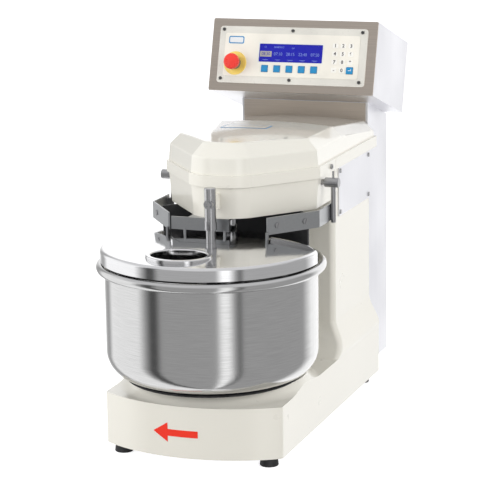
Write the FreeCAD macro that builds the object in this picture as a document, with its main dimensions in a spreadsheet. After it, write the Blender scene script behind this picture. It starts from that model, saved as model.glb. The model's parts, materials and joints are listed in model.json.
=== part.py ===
"""Tabletop spiral dough mixer, modelled in millimetres.

+Z is up, +Y points to the back of the machine, +X to its right-hand side as seen from the front.
The origin is on the table, straight below the middle of the machine. All the driving dimensions
are in the spreadsheet "Sizes"; every sub-part is an object of the document and is written to
parts/LABEL.step. Inside the script the bowl axis is the line x = 0, y = 0, and the last step
moves everything back so that the origin lies in the middle of the machine's footprint.
"""

import FreeCAD, Part
import math
import os
import re
from types import SimpleNamespace

import Sketcher
from FreeCAD import Placement, Rotation, Vector

# ---------------------------------------------------------------------------------------------
# Driving dimensions
# ---------------------------------------------------------------------------------------------

SIZES = {
    # distance from the bowl axis back to the middle of the footprint
    "middle_y": 229.4,
    # feet and base
    "foot_height": 16,
    "foot_radius": 16,
    "foot_x": 130,
    "foot_front_y": -88,
    "foot_rear_y": 432,
    "base_half_width": 157,
    "base_corner_y": -98,
    "base_front_y": -145,
    "base_rear_y": 462,
    "base_top": 104,
    "base_corner_round": 9,
    "cast_wall": 8,
    "deck_centre_y": 28,
    "deck_foot_radius": 176,
    "deck_round": 26,
    "deck_top": 121.5,
    "plate_thickness": 3,
    # column
    "column_half_width": 138,
    "column_front_y": 247,
    "column_top": 438,
    "flare_top": 162,
    "column_round": 10,
    "motor_shelf": 400,
    # bowl and turntable
    "bowl_radius": 180,
    "bowl_wall": 2,
    "bowl_bottom": 125.5,
    "bowl_corner": 45,
    "rim_level": 314,
    "rim_bead": 8,
    "turntable_radius": 149,
    "turntable_bottom": 122.3,
    "bowl_shaft_radius": 12.5,
    "bearing_outer": 26,
    "bearing_height": 14,
    "bowl_pulley_radius": 105,
    "bowl_belt_level": 28,
    "bowl_drive_y": 330,
    "small_pulley_radius": 24,
    "belt_width": 18,
    "belt_thickness": 4,
    # lid
    "lid_radius": 186.5,
    "lid_skirt_bottom": 325,
    "lid_edge_level": 347,
    "lid_crown": 8,
    "lid_sheet": 1.6,
    "lid_round": 6,
    "lid_notch_front_y": -30,
    "lid_notch_front_x": 45,
    "lid_notch_knee_y": 22,
    "lid_notch_rear_x": 86,
    "lid_rear_inner_y": 35,
    "lid_rear_outer_y": 7,
    "lid_rear_outer_x": 180,
    "fixed_lid_rear_y": 92,
    "lid_seam": 1.2,
    "fill_x": -10,
    "fill_y": -120,
    "fill_half_width": 56,
    "fill_half_depth": 48,
    "lip_height": 5,
    "collar_width": 9,
    "collar_height": 3,
    # head
    "head_half_width": 142,
    "head_corner_y": 157,
    "nose_x": 57,
    "nose_y": 49,
    "tip_y": 26.6,
    "head_bottom": 384,
    "flange_top": 458,
    "flange_proud": 4,
    "head_rear_y": 500,
    "cover_top": 510.5,
    "cover_crown": 5.5,
    "cover_side_top": 487,
    "cover_draft": 2.5,
    "cover_bend_y": 300,
    "cover_rear_drop": 20,
    "cover_edge_round": 6,
    "cover_wall": 3,
    # spiral hook and drive
    "spiral_y": 95,
    "spiral_coil_radius": 54,
    "spiral_rod_radius": 10,
    "spiral_bottom": 162,
    "spiral_top": 318,
    "spiral_shaft_radius": 13,
    "spiral_pulley_radius": 52,
    "spiral_belt_level": 448,
    "spiral_drive_y": 356,
    # breaker bar
    "bar_radius": 8.2,
    "sleeve_radius": 9.7,
    "bar_bottom": 141,
    "sleeve_bottom": 372,
    "sleeve_top": 443.5,
    "bar_screw_level": 416,
    # lid hinge and bracket
    "pivot_y": 183,
    "pivot_level": 427,
    "axle_radius": 5,
    "hub_radius": 8.5,
    "hub_inner_x": 142.8,
    "hub_outer_x": 168,
    "left_hub_outer_x": 161,
    "lever_x": 157.4,
    "left_lever_x": 142.2,
    "left_lever_radius": 3,
    "stop_pin_radius": 1.75,
    "stop_pin_top": 447,
    "lever_radius": 4.3,
    "lever_bottom": 357,
    "flat_bar_top": 390,
    "flat_bar_bottom": 361,
    "flat_bar_sheet": 3,
    "flat_bar_x": 153.4,
    "flat_bar_bend_y": 118,
    "flat_bar_end_x": 89.5,
    "flat_bar_end_y": 32,
    # guard behind the lid
    "guard_radius": 178,
    "guard_bottom": 327,
    "guard_start_angle": 41,
    # rear cabinet and neck
    "cabinet_half_width": 124,
    "cabinet_rear_y": 628,
    "neck_front_y": 502,
    "sheet_metal": 1.5,
    # console, measured in its own tilted frame: across, up the face and back from the face
    "console_tilt": 16.9,
    "console_y": 414.3,
    "console_level": 545.7,
    "console_half_width": 159.5,
    "console_height": 135.5,
    "console_depth": 208,
    "front_sheet": 3,
    "panel_width": 287,
    "panel_height": 106.5,
    "panel_x": -1,
    "panel_level": 14.5,
    "membrane_width": 261.5,
    "membrane_height": 80,
    "membrane_x": -2.3,
    "membrane_level": 28,
    "display_width": 123,
    "display_height": 34,
    "display_x": -3,
    "display_level": 72.5,
    "key_size": 12.5,
    "key_height": 2.4,
    "key_pitch": 23.9,
    "first_key_x": -51.7,
    "function_key_level": 43,
    "pad_pitch": 15.1,
    "pad_x": 82.4,
    "pad_level": 89,
    "pad_width": 10,
    "pad_height": 8.5,
    "stop_x": -110,
    "stop_level": 51.4,
    "stop_ring_radius": 22,
    "stop_collar_radius": 11.5,
    "stop_stem_radius": 8,
    "stop_head_radius": 14.8,
    "stop_head_top": 30,
}

doc = FreeCAD.newDocument("spiral_mixer")
sheet = doc.addObject("Spreadsheet::Sheet", "Sizes")
for row, (alias, number) in enumerate(SIZES.items(), start=1):
    sheet.set(f"A{row}", alias)
    sheet.set(f"B{row}", str(number))
    sheet.setAlias(f"B{row}", alias)
doc.recompute()
S = SimpleNamespace(**{alias: float(sheet.get(alias)) for alias in SIZES})

NODES = []

# Ways to hold a piece: console pieces are turned with the tilted console, and a piece drawn flat
# is stood up so that its thickness points out of the console's face.
CONSOLE = Placement(
    Vector(0, S.console_y, S.console_level), Rotation(Vector(1, 0, 0), -S.console_tilt)
)
FACE_OUT = Rotation(Vector(1, 0, 0), 90)

# ---------------------------------------------------------------------------------------------
# Helpers
# ---------------------------------------------------------------------------------------------


def linked(text):
    """A formula in the sheet's aliases, written so that another object can use it."""
    return re.sub(r"[a-z_]\w*", lambda m: "Sizes." + m[0] if m[0] in SIZES else m[0], str(text))


def number(text):
    """The present value of such a formula."""
    found = sheet.evalExpression(linked(text))
    return float(getattr(found, "Value", found))


def node(piece, label):
    """Names an object as a sub-part and keeps it for export."""
    piece.Label = label
    NODES.append(piece)
    return piece


def bind(piece, **formulas):
    for prop, text in formulas.items():
        piece.setExpression(prop, linked(text))
    return piece


def place(piece, x="0", y="0", z="0"):
    """Puts a piece at a point given by formulas."""
    for axis, text in (("x", x), ("y", f"{y} - middle_y"), ("z", z)):
        piece.setExpression(f"Placement.Base.{axis}", linked(text))
    return piece


def on_console(piece, across, up, out):
    """Stands a flat piece on the console's face, out millimetres proud of it."""
    stand = Placement(Vector(number(across), -number(out), number(up)), FACE_OUT)
    piece.Placement = CONSOLE.multiply(stand)
    return piece


def new_body(label):
    return node(doc.addObject("PartDesign::Body", label), label)


def sketch_on(body, role, name):
    sketch = body.newObject("Sketcher::SketchObject", name)
    plane = next(f for f in body.Origin.OriginFeatures if f.Role == role)
    sketch.AttachmentSupport = [(plane, "")]
    sketch.MapMode = "FlatFace"
    return sketch


def constrain(sketch, formula, *reference):
    """Adds one dimension to a sketch and binds it to the sheet."""
    index = sketch.addConstraint(Sketcher.Constraint(*reference, number(formula)))
    sketch.setExpression(f"Constraints[{index}]", linked(formula))


def draw_loop(sketch, corners):
    """Draws a closed outline. A corner is (x, y), reached by a straight edge, or
    (x, y, centre_x, centre_y, turn), reached by an arc about that centre, turn 1 being
    anticlockwise and -1 clockwise."""
    spots = [Vector(number(c[0]), number(c[1]), 0) for c in corners]
    first = None
    for index, corner in enumerate(corners):
        start, end = spots[index - 1], spots[index]
        if len(corner) == 2:
            edge = sketch.addGeometry(Part.LineSegment(start, end))
            tail, tip = 1, 2
        else:
            centre = Vector(number(corner[2]), number(corner[3]), 0)
            turn = corner[4]
            begin = math.atan2(start.y - centre.y, start.x - centre.x)
            finish = math.atan2(end.y - centre.y, end.x - centre.x)
            sweep = (turn * (finish - begin)) % (2 * math.pi)
            middle = begin + turn * sweep / 2
            radius = centre.distanceToPoint(start)
            through = centre + Vector(radius * math.cos(middle), radius * math.sin(middle), 0)
            edge = sketch.addGeometry(Part.Arc(start, through, end))
            tail, tip = (1, 2) if turn > 0 else (2, 1)
            reach = f"sqrt(({corner[0]} - ({corner[2]}))^2 + ({corner[1]} - ({corner[3]}))^2)"
            constrain(sketch, reach, "Radius", edge)
        constrain(sketch, corner[0], "DistanceX", -1, 1, edge, tip)
        constrain(sketch, corner[1], "DistanceY", -1, 1, edge, tip)
        if first is None:
            first = (edge, tail)
        else:
            sketch.addConstraint(Sketcher.Constraint("Coincident", *previous, edge, tail))
        previous = (edge, tip)
    sketch.addConstraint(Sketcher.Constraint("Coincident", *previous, *first))


def draw_circle(sketch, x, y, radius):
    centre = Vector(number(x), number(y), 0)
    ring = sketch.addGeometry(Part.Circle(centre, Vector(0, 0, 1), number(radius)))
    constrain(sketch, x, "DistanceX", -1, 1, ring, 3)
    constrain(sketch, y, "DistanceY", -1, 1, ring, 3)
    constrain(sketch, radius, "Radius", ring)


def rounded(width, height, corner):
    """Corners of a rounded rectangle about the sketch's origin."""
    w, h, r = f"({width}) / 2", f"({height}) / 2", corner
    return [
        (w, f"{h} - {r}"),
        (f"{w} - {r}", h, f"{w} - {r}", f"{h} - {r}", 1),
        (f"{r} - {w}", h),
        (f"-{w}", f"{h} - {r}", f"{r} - {w}", f"{h} - {r}", 1),
        (f"-{w}", f"{r} - {h}"),
        (f"{r} - {w}", f"-{h}", f"{r} - {w}", f"{r} - {h}", 1),
        (f"{w} - {r}", f"-{h}"),
        (w, f"{r} - {h}", f"{w} - {r}", f"{r} - {h}", 1),
    ]


def revolved(label, corners):
    """A body turned about Z from an outline of (radius, height) corners."""
    body = new_body(label)
    sketch = sketch_on(body, "XZ_Plane", label + "_profile")
    draw_loop(sketch, corners)
    turn = body.newObject("PartDesign::Revolution", label + "_turned")
    turn.Profile = sketch
    turn.ReferenceAxis = (sketch, ["V_Axis"])
    turn.Angle = 360
    return body


def padded(label, thickness, corners, holes=(), windows=()):
    """A flat body: an outline with round holes and shaped windows, padded along +Z."""
    body = new_body(label)
    sketch = sketch_on(body, "XY_Plane", label + "_outline")
    draw_loop(sketch, corners)
    for hole in holes:
        draw_circle(sketch, *hole)
    for window in windows:
        draw_loop(sketch, window)
    pad = body.newObject("PartDesign::Pad", label + "_pad")
    pad.Profile = sketch
    bind(pad, Length=thickness)
    return body


def shifted(corners, x, y):
    """An outline moved across its sketch."""
    moved = []
    for corner in corners:
        spot = (f"{corner[0]} + ({x})", f"{corner[1]} + ({y})")
        if len(corner) == 5:
            spot += (f"{corner[2]} + ({x})", f"{corner[3]} + ({y})", corner[4])
        moved.append(spot)
    return moved



def block(name, length, width, height):
    return bind(doc.addObject("Part::Box", name), Length=length, Width=width, Height=height)


def rod(name, radius, height):
    return bind(doc.addObject("Part::Cylinder", name), Radius=radius, Height=height)


def fused(name, pieces):
    whole = doc.addObject("Part::MultiFuse", name)
    whole.Shapes = pieces
    return whole


def cut(name, base, tools):
    result = doc.addObject("Part::Cut", name)
    result.Base = base
    result.Tool = tools[0] if len(tools) == 1 else fused(name + "_tools", tools)
    return result


def shaped(label, shape):
    """A sub-part whose shape is worked out below from the sheet's sizes."""
    piece = node(doc.addObject("Part::Feature", label), label)
    piece.Shape = shape
    return piece


def solid_box(x0, x1, y0, y1, z0, z1):
    return Part.makeBox(x1 - x0, y1 - y0, z1 - z0, Vector(x0, y0, z0))


def solid_rod(radius, height, x, y, z, axis=(0, 0, 1)):
    return Part.makeCylinder(radius, height, Vector(x, y, z), Vector(*axis))


def prism(wire, height):
    return Part.Face(wire).extrude(Vector(0, 0, height))


def polygon(points):
    return Part.makePolygon([Vector(*p) for p in points] + [Vector(*points[0])])


def mirrored(shape):
    """The same piece on the other side of the machine."""
    return shape.mirror(Vector(0, 0, 0), Vector(1, 0, 0))


# ---------------------------------------------------------------------------------------------
# Base and column
# ---------------------------------------------------------------------------------------------


def base_outline(inset, level):
    """Plan of the base: straight sides and back, front bowed forward."""
    half = S.base_half_width - inset
    corner = S.base_corner_y + inset
    front = Vector(0, S.base_front_y + inset, level)
    left = Vector(-half, corner, level)
    right = Vector(half, corner, level)
    back_right = Vector(half, S.base_rear_y - inset, level)
    back_left = Vector(-half, S.base_rear_y - inset, level)
    edges = [
        Part.Arc(left, front, right),
        Part.LineSegment(right, back_right),
        Part.LineSegment(back_right, back_left),
        Part.LineSegment(back_left, left),
    ]
    return Part.Wire([edge.toShape() for edge in edges])


def rounded_front(half, front, back, corner, level):
    """A rectangle in plan whose two front corners are rounded."""
    lean = corner * (1 - math.sqrt(0.5))
    right = [Vector(half - corner, front, level), Vector(half - lean, front + lean, level)]
    right.append(Vector(half, front + corner, level))
    left = [Vector(-p.x, p.y, p.z) for p in reversed(right)]
    back_right, back_left = Vector(half, back, level), Vector(-half, back, level)
    edges = [
        Part.Arc(*right),
        Part.LineSegment(right[2], back_right),
        Part.LineSegment(back_right, back_left),
        Part.LineSegment(back_left, left[0]),
        Part.Arc(*left),
        Part.LineSegment(left[2], right[0]),
    ]
    return Part.Wire([edge.toShape() for edge in edges])


def deck():
    """The round seat under the bowl, blended down to the base by a hollow fillet."""
    drop = S.deck_foot_radius, S.base_top
    blend_top = S.base_top + S.deck_round
    reach = math.sqrt(S.deck_round**2 - (blend_top - S.deck_top) ** 2)
    lip = S.deck_foot_radius - reach
    half_turn = S.deck_round * math.sqrt(0.5)
    through = Vector(S.deck_foot_radius - half_turn, 0, blend_top - half_turn)
    bottom = S.base_top - S.cast_wall
    foot, top = Vector(drop[0], 0, drop[1]), Vector(lip, 0, S.deck_top)
    inner_top, inner_bottom = Vector(0, 0, S.deck_top), Vector(0, 0, bottom)
    outer_bottom = Vector(drop[0], 0, bottom)
    edges = [
        Part.Arc(foot, through, top).toShape(),
        Part.LineSegment(top, inner_top).toShape(),
        Part.LineSegment(inner_top, inner_bottom).toShape(),
        Part.LineSegment(inner_bottom, outer_bottom).toShape(),
        Part.LineSegment(outer_bottom, foot).toShape(),
    ]
    seat = Part.Face(Part.Wire(edges)).revolve(Vector(0, 0, 0), Vector(0, 0, 1), 360)
    seat.translate(Vector(0, S.deck_centre_y, 0))
    return seat


def flare():
    """The foot of the column, which spreads out to the width and length of the base."""
    back = S.base_rear_y
    steps = [(1.0, 42), (0.96, 20), (0.6, 6), (0.22, 1), (0.0, 0)]
    rise = (S.flare_top - S.base_top) / (len(steps) - 1)
    spread = S.base_half_width - S.column_half_width
    sections = []
    for index, (widening, reach) in enumerate(steps):
        half = S.column_half_width + spread * widening
        front = S.column_front_y - reach
        level = S.base_top + rise * index
        sections.append(rounded_front(half, front, back, S.column_round, level))
    return Part.makeLoft(sections, True, False)


def base_casting():
    """Base and column in one casting, hollow, open below, behind and at the top."""
    floor = S.foot_height
    body = prism(base_outline(0, floor), S.base_top - floor)
    corners = [
        e for e in body.Edges
        if abs(e.Vertexes[0].Z - e.Vertexes[-1].Z) > 1 and e.Vertexes[0].Y < 0
    ]
    body = body.makeFillet(S.base_corner_round, corners)
    tall_outline = prism(base_outline(0, floor), S.deck_top - floor)
    body = body.fuse(deck().common(tall_outline))
    column = rounded_front(
        S.column_half_width, S.column_front_y, S.base_rear_y, S.column_round, S.flare_top
    )
    body = body.fuse(flare()).fuse(prism(column, S.column_top - S.flare_top))

    wall = S.cast_wall
    inner_half = S.column_half_width - wall
    ceiling = S.base_top - wall - 4
    body = body.cut(prism(base_outline(wall, floor - 1), ceiling - floor + 1))
    well = solid_box(
        -inner_half, inner_half, S.column_front_y + wall, S.base_rear_y - wall,
        ceiling - 1, S.column_top + 1,
    )
    hatch = solid_box(-112, 112, S.base_rear_y - wall - 1, S.base_rear_y + 1, 40, 430)
    body = body.cut(well).cut(hatch)

    boss = solid_rod(S.bearing_outer + 10, S.deck_top - 56, 0, 0, 56)
    shelf = solid_box(
        -inner_half - 1, inner_half + 1, S.column_front_y + wall - 1, S.base_rear_y - wall + 1,
        S.motor_shelf, S.motor_shelf + wall,
    )
    body = body.fuse(boss).fuse(shelf)
    body = body.cut(solid_rod(S.bearing_outer, S.deck_top, 0, 0, 40))
    body = body.cut(solid_rod(20, 3 * wall, 0, S.spiral_drive_y, S.motor_shelf - wall))
    shaped("base_casting", body.removeSplitter())


def base_plate():
    """Steel plate that closes the base from below."""
    gap = S.cast_wall + 0.3
    shaped("base_plate", prism(base_outline(gap, S.foot_height), S.plate_thickness))


def rubber_feet():
    """Four rubber feet, slightly tapered, each a separate solid of one node."""
    feet = []
    for x in (-S.foot_x, S.foot_x):
        for y in (S.foot_front_y, S.foot_rear_y):
            foot = Part.makeCone(S.foot_radius, S.foot_radius - 1.5, S.foot_height, Vector(x, y, 0))
            foot = foot.makeChamfer(1.2, [foot.Edges[-1]]) if len(foot.Edges) > 2 else foot
            feet.append(foot)
    shaped("rubber_feet", Part.makeCompound(feet))


def side_plates():
    """Stainless plates that close the service holes on both sides of the column."""
    front, back, low, high, sheet_gauge = 272, 461, 349, 437, 2
    plate = solid_box(
        S.column_half_width, S.column_half_width + sheet_gauge, front, back, low, high
    )
    shaped("side_plates", Part.makeCompound([plate, mirrored(plate)]))
    screws = []
    for y in (front + 8, back - 8):
        for z in (low + 7, high - 7):
            x = S.column_half_width + sheet_gauge
            screw = solid_rod(4, 1.6, x, y, z, (1, 0, 0))
            slot = solid_box(x + 0.9, x + 2, y - 5, y + 5, z - 0.5, z + 0.5)
            screw = screw.cut(slot)
            screws += [screw, mirrored(screw)]
    shaped("side_plate_screws", Part.makeCompound(screws))


# ---------------------------------------------------------------------------------------------
# Bowl, turntable and bowl drive
# ---------------------------------------------------------------------------------------------


def bowl():
    """Deep drawn bowl with a rounded bottom corner and a rolled rim."""
    inner = "bowl_radius - bowl_wall"
    flat = "bowl_radius - bowl_corner"
    tangent = "bowl_bottom + bowl_corner"
    bead_centre = "bowl_radius - bowl_wall + rim_bead"
    start = "rim_level - sqrt(rim_bead^2 - (rim_bead - bowl_wall)^2)"
    revolved(
        "bowl",
        [
            ("0", "bowl_bottom"),
            (flat, "bowl_bottom"),
            ("bowl_radius", tangent, flat, tangent, 1),
            ("bowl_radius", start),
            (inner, "rim_level", bead_centre, "rim_level", 1),
            (inner, tangent),
            (flat, "bowl_bottom + bowl_wall", flat, tangent, -1),
            ("0", "bowl_bottom + bowl_wall"),
        ],
    )


def turntable():
    """Black plate that carries and turns the bowl."""
    revolved(
        "turntable",
        [
            ("0", "turntable_bottom"),
            ("turntable_radius - 1.5", "turntable_bottom"),
            ("turntable_radius", "turntable_bottom + 1.5"),
            ("turntable_radius", "bowl_bottom - 1.5"),
            ("turntable_radius - 1.5", "bowl_bottom"),
            ("0", "bowl_bottom"),
        ],
    )


def bowl_drive():
    """Shaft, bearings, pulleys, belt and geared motor that turn the bowl."""
    shaft = node(rod("bowl_shaft", "bowl_shaft_radius", "turntable_bottom - 24"), "bowl_shaft")
    place(shaft, z="24")

    low, high = 58, 100
    bearings = []
    for level in (low, high):
        race = solid_rod(S.bearing_outer, S.bearing_height, 0, 0, level)
        bore = solid_rod(S.bowl_shaft_radius + 0.05, S.bearing_height, 0, 0, level)
        bearings.append(race.cut(bore))
    shaped("bowl_bearings", Part.makeCompound(bearings))

    flanged_pulley("bowl_pulley", "bowl_pulley_radius", "bowl_shaft_radius")
    place(NODES[-1], z="bowl_belt_level")
    flanged_pulley("bowl_drive_pulley", "small_pulley_radius", "0")
    place(NODES[-1], y="bowl_drive_y", z="bowl_belt_level")
    belt(
        "bowl_belt", (0, S.bowl_pulley_radius), (S.bowl_drive_y, S.small_pulley_radius),
        S.bowl_belt_level + 2,
    )

    half, low, high, foot = 52, 62, 150, 14
    gearbox = solid_box(-half, half, S.bowl_drive_y - half, S.bowl_drive_y + half, low, high)
    gearbox = gearbox.makeFillet(6, [e for e in gearbox.Edges])
    gearbox = gearbox.cut(solid_rod(8.1, 14, 0, S.bowl_drive_y, low - 1))
    floor = S.foot_height + S.plate_thickness
    spread = half + foot / 2
    for x in (-spread, spread - foot):
        for y in (S.bowl_drive_y - half, S.bowl_drive_y + half - foot):
            gearbox = gearbox.fuse(solid_box(x, x + foot, y, y + foot, floor, low + 2 * foot))
    shaped("bowl_gearmotor", gearbox)


def flanged_pulley(label, radius, bore):
    """Belt pulley with two low flanges and, on a driving pulley, its own shaft stub."""
    groove, edge, high = f"{radius}", f"{radius} + 3", "belt_width + 4"
    corners = [
        (edge, "0"), (edge, "1.6"), (groove, "1.6"),
        (groove, f"{high} - 1.6"), (edge, f"{high} - 1.6"), (edge, high),
    ]
    if bore == "0":
        stub = [("8", high), ("8", f"{high} + 19"), ("0", f"{high} + 19")]
        return revolved(label, [("0", "0")] + corners + stub)
    return revolved(label, [(bore, "0")] + corners + [(bore, high)])


def belt_loop(first, second, extra, level):
    """Closed line around two pulleys on the Y axis, extra millimetres outside them."""
    (y_a, r_a), (y_b, r_b) = first, second
    r_a, r_b = r_a + extra, r_b + extra
    lean = math.asin((r_a - r_b) / (y_b - y_a))
    cosine, sine = math.cos(lean), math.sin(lean)
    a_right = Vector(r_a * cosine, y_a + r_a * sine, level)
    b_right = Vector(r_b * cosine, y_b + r_b * sine, level)
    a_left = Vector(-a_right.x, a_right.y, level)
    b_left = Vector(-b_right.x, b_right.y, level)
    edges = [
        Part.Arc(a_left, Vector(0, y_a - r_a, level), a_right),
        Part.LineSegment(a_right, b_right),
        Part.Arc(b_right, Vector(0, y_b + r_b, level), b_left),
        Part.LineSegment(b_left, a_left),
    ]
    return Part.Wire([edge.toShape() for edge in edges])


def belt(label, first, second, level):
    gap = 0.3
    outer = prism(belt_loop(first, second, gap + S.belt_thickness, level), S.belt_width)
    inner = prism(belt_loop(first, second, gap, level), S.belt_width)
    shaped(label, outer.cut(inner))


# ---------------------------------------------------------------------------------------------
# Head
# ---------------------------------------------------------------------------------------------


def head_outline(inset, level, back):
    """Plan of the head: rounded nose, two slanting cheeks and straight sides."""
    nose_shift, corner_shift = 0.7, 0.34
    half = S.head_half_width - inset
    nose = Vector(S.nose_x - nose_shift * inset, S.nose_y + nose_shift * inset, level)
    corner = Vector(half, S.head_corner_y + corner_shift * inset, level)
    tip = Vector(0, S.tip_y + inset, level)
    rear = Vector(half, back, level)

    def flip(p):
        return Vector(-p.x, p.y, p.z)

    edges = [
        Part.Arc(flip(nose), tip, nose),
        Part.LineSegment(nose, corner),
        Part.LineSegment(corner, rear),
        Part.LineSegment(rear, flip(rear)),
        Part.LineSegment(flip(rear), flip(corner)),
        Part.LineSegment(flip(corner), flip(nose)),
    ]
    return Part.Wire([edge.toShape() for edge in edges])


def upright_edges(shape, ahead_of):
    """The standing edges of a shape in front of a plane."""
    return [
        e for e in shape.Edges
        if abs(e.Vertexes[0].Z - e.Vertexes[-1].Z) > 5
        and max(v.Y for v in e.Vertexes) < ahead_of
    ]


def housing_form():
    """The lower casting as a full solid, slightly drafted."""
    upper, lower = S.flange_proud, 2 * S.flange_proud
    top, back = S.column_top, S.column_front_y
    sections = [head_outline(lower, S.head_bottom, back), head_outline(upper, top, back)]
    return Part.makeLoft(sections, True, True)


def head_housing():
    """Lower casting of the head with the spiral's bearing seat."""
    top, back = S.column_top, S.column_front_y
    corner_round, wall, floor, seat_wall, shaft_gap = 7, 8, 9, 8, 2
    height = top - S.head_bottom
    body = housing_form()
    body = body.makeFillet(corner_round, upright_edges(body, back - 5))
    inset = 2 * S.flange_proud + wall
    body = body.cut(prism(head_outline(inset, S.head_bottom + floor, back - wall), height))
    seat = solid_rod(S.bearing_outer + seat_wall, height - 3, 0, S.spiral_y, S.head_bottom + 1)
    body = body.fuse(seat)
    body = body.cut(solid_rod(S.bearing_outer, height, 0, S.spiral_y, S.head_bottom + floor))
    body = body.cut(
        solid_rod(S.spiral_shaft_radius + shaft_gap, height, 0, S.spiral_y, S.head_bottom - 5)
    )
    across, axle_fit = 2 * S.head_half_width, 0.02
    body = body.cut(
        solid_rod(
            S.axle_radius + axle_fit, across, -S.head_half_width, S.pivot_y, S.pivot_level,
            (1, 0, 0),
        )
    )
    shaped("head_housing", body.removeSplitter())


def head_flange():
    """Raised band between the lower casting and the cover."""
    height = S.flange_top - S.column_top
    band = prism(head_outline(0, S.column_top, S.head_rear_y), height)
    band = band.makeFillet(6, upright_edges(band, S.head_rear_y - 5))
    opening = prism(head_outline(10, S.column_top - 1, S.head_rear_y - 12), height + 2)
    seam = solid_box(
        -S.head_half_width - 1, S.head_half_width + 1,
        S.column_front_y - 0.6, S.column_front_y + 0.6, S.column_top - 1, S.flange_top + 1,
    )
    core = prism(head_outline(1.2, S.column_top - 2, S.head_rear_y - 1.2), height + 4)
    shaped("head_flange", band.cut(opening).cut(seam.cut(core)))


def roof_section(y, inset, grow, drop):
    """Cross-section under the cover's top: upright sides, a 45 degree chamfer, a flat arch."""
    half = S.head_half_width - S.flange_proud - S.cover_draft + grow - inset
    top = S.cover_top - inset - drop
    side_level = S.cover_side_top - 0.4 * inset - drop
    rise = top - S.cover_crown - side_level
    bottom = S.column_top
    shoulder = half - rise
    right = [Vector(half + S.cover_draft, y, bottom), Vector(half, y, side_level)]
    right.append(Vector(shoulder, y, side_level + rise))
    left = [Vector(-p.x, p.y, p.z) for p in right]
    edges = [
        Part.LineSegment(left[0], right[0]),
        Part.LineSegment(right[0], right[1]),
        Part.LineSegment(right[1], right[2]),
        Part.Arc(right[2], Vector(0, y, top), left[2]),
        Part.LineSegment(left[2], left[1]),
        Part.LineSegment(left[1], left[0]),
    ]
    return Part.Wire([edge.toShape() for edge in edges])


def cover_form(inset):
    """The cover as a solid, inset millimetres inside its outer skin."""
    rear = S.head_rear_y - inset
    stations = [(0, 1.5, 0), (S.cover_bend_y, 0.3, 0), (rear, 0.3, S.cover_rear_drop)]
    sections = [roof_section(y, inset, grow, drop) for y, grow, drop in stations]
    roof = Part.makeLoft(sections, True, True)
    low = S.flange_top - (0 if inset == 0 else 5)
    side = S.cover_side_top - 0.4 * inset
    wall_inset = S.flange_proud + inset
    edge_inset = wall_inset + S.cover_draft
    climb = 34
    walls = Part.makeLoft(
        [head_outline(wall_inset, low, rear), head_outline(edge_inset, side, rear)], True, True
    )
    slope = Part.makeLoft(
        [head_outline(edge_inset, side, rear), head_outline(edge_inset + climb, side + climb, rear)],
        True, True,
    )
    form = walls.fuse(slope).common(roof)
    return form.removeSplitter()


def cover_edges(form):
    """Edges of the cover to soften: all but its foot and its rear end."""
    rear = S.head_rear_y - 2
    return [
        e for e in form.Edges
        if e.BoundBox.ZMax > S.flange_top + 4 and e.BoundBox.YMin < rear and e.Length > 1
    ]


def head_cover():
    """Upper cover of the head, a thin shell with softened edges over the belt drive."""
    outer = cover_form(0)
    outer = outer.makeFillet(S.cover_edge_round, cover_edges(outer))
    shell = outer.cut(cover_form(S.cover_wall))
    shaped("head_cover", shell.removeSplitter())


def head_bolts():
    """Hexagon socket bolts that hold the band to the column, one on each side."""
    y, z = 219, 448
    x = S.head_half_width
    bolt = solid_rod(4.5, 3.2, x, y, z, (1, 0, 0))
    socket = solid_rod(2.4, 3, x + 1.4, y, z, (1, 0, 0))
    bolt = bolt.cut(socket)
    shaped("head_bolts", Part.makeCompound([bolt, mirrored(bolt)]))


# ---------------------------------------------------------------------------------------------
# Spiral hook and its drive
# ---------------------------------------------------------------------------------------------


def spiral_hook():
    """Dough hook: one round bar that winds round its axis and runs up into the shaft."""
    turns, steps = 1.15, 24
    hub_level = S.spiral_top + 34
    path = []
    for index in range(steps + 1):
        share = index / steps
        angle = 2 * math.pi * turns * share
        rise = (S.spiral_top - S.spiral_bottom) * share
        path.append(
            Vector(
                S.spiral_coil_radius * math.cos(angle),
                S.spiral_y + S.spiral_coil_radius * math.sin(angle),
                S.spiral_bottom + rise,
            )
        )
    leave = 2 * math.pi * turns
    for swing, share, rise in ((0.35, 0.8, 0.3), (0.6, 0.42, 0.62), (0.7, 0.1, 0.88)):
        angle, reach = leave + swing, S.spiral_coil_radius * share
        path.append(
            Vector(
                reach * math.cos(angle), S.spiral_y + reach * math.sin(angle),
                S.spiral_top + (hub_level - S.spiral_top) * rise,
            )
        )
    path.append(Vector(0, S.spiral_y, hub_level + 10))
    curve = Part.BSplineCurve()
    curve.interpolate(path)
    start = curve.value(curve.FirstParameter)
    circle = Part.Circle(start, curve.tangent(curve.FirstParameter)[0], S.spiral_rod_radius)
    hook = Part.Wire(curve.toShape()).makePipeShell([Part.Wire(circle.toShape())], True, False)
    toe = min(hook.Edges, key=lambda e: (e.CenterOfMass - start).Length)
    hook = hook.makeFillet(5, [toe])
    shoulder = Part.makeCone(
        S.spiral_rod_radius + 0.4, S.spiral_shaft_radius, 12, Vector(0, S.spiral_y, hub_level)
    )
    top = S.spiral_belt_level + S.belt_width + 8
    shaft_foot = hub_level + 12
    shaft = solid_rod(S.spiral_shaft_radius, top - shaft_foot, 0, S.spiral_y, shaft_foot)
    hook = hook.fuse([shoulder, shaft])
    shaped("spiral_hook", hook.removeSplitter())


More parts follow.
